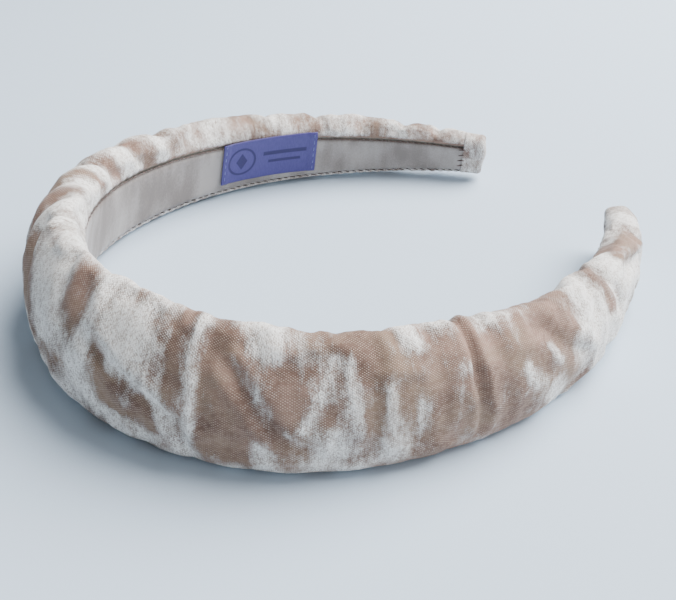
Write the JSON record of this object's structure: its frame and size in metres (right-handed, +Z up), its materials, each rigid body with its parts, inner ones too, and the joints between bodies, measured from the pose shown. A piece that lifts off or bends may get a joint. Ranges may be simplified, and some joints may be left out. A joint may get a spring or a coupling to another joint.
{
  "type": "padded velvet headband",
  "caption": "Open-ended padded hair band: springy plastic hoop, foam pad and crushed velvet cover, wide at the crown and tapering to folded tips.",
  "frame": {"origin": "centre of the bounding box in X and Y, at the lowest point of the lower edge that the band lies on", "axes": "+Z up while the band lies on its side edge; +Y from the crown towards the open tips; +X towards the wearer's right arm, with the band's front edge on top"},
  "size_m": [0.1498, 0.1658, 0.0326],
  "materials": {
    "velvet": "satin",
    "lining": "matte",
    "seam_thread": "matte",
    "foam": "matte",
    "hoop_plastic": "satin",
    "label": "satin",
    "label_thread": "satin"
  },
  "bodies": {
    "left_half": {"velvet_cover_left": "velvet", "lining_left": "lining", "upper_seam_thread_left": "seam_thread", "lower_seam_thread_left": "seam_thread", "foam_pad_left": "foam", "hoop_left": "hoop_plastic", "tip_wrap_left": "velvet", "tip_tacks_left": "seam_thread", "label": "label", "label_stitches": "label_thread"},
    "right_half": {"velvet_cover_right": "velvet", "lining_right": "lining", "upper_seam_thread_right": "seam_thread", "lower_seam_thread_right": "seam_thread", "foam_pad_right": "foam", "hoop_right": "hoop_plastic", "tip_wrap_right": "velvet", "tip_tacks_right": "seam_thread"}
  },
  "joints": [
    {"name": "crown_flex", "type": "hinge", "parent": "left_half", "child": "right_half", "pos_m": [0, -0.08279, 0.01583], "axis": [0, -0.0436, -0.999], "range_deg": [0, 30], "stiffness_Nm_per_rad": 0.6}
  ]
}
